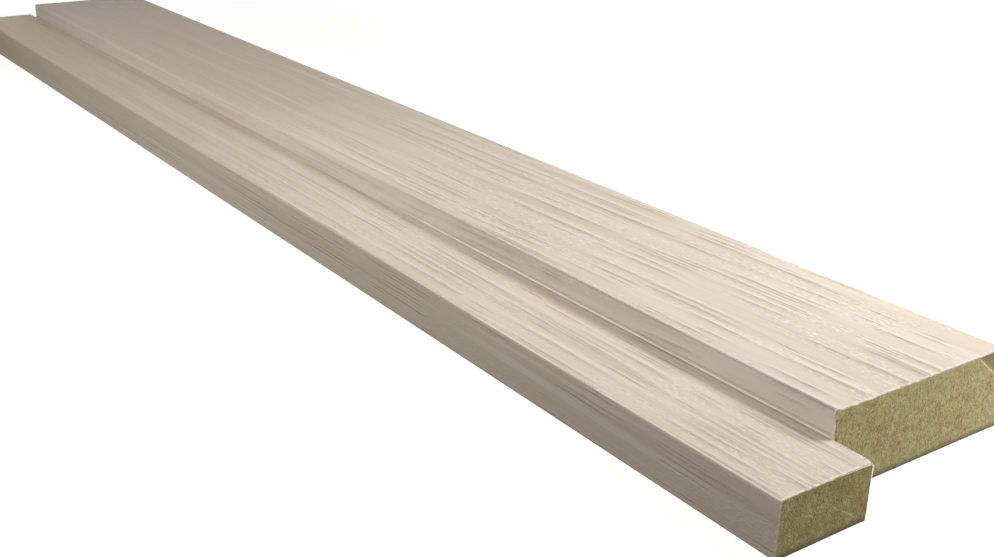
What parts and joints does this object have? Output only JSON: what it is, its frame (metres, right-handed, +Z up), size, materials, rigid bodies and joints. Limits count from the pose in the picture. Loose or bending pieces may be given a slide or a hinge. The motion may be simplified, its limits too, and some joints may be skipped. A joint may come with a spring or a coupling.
{
  "type": "door threshold",
  "caption": "Rebated door threshold bar of fibreboard in whitened-oak film, with a low front strip, a thick rear stop and notched ends where the strip runs on past the stop.",
  "frame": {"origin": "on the underside, at the middle of the length and of the width", "axes": "+X along the bar towards the end nearest the camera, +Y from the front strip to the rear face, +Z up"},
  "size_m": [0.85, 0.125, 0.03],
  "materials": {
    "fibreboard": "sawn, speckled",
    "oak_film": "embossed whitened oak grain, satin"
  },
  "bodies": {
    "root": {"mdf_core": "fibreboard", "film_wrap": "oak_film"}
  },
  "joints": []
}
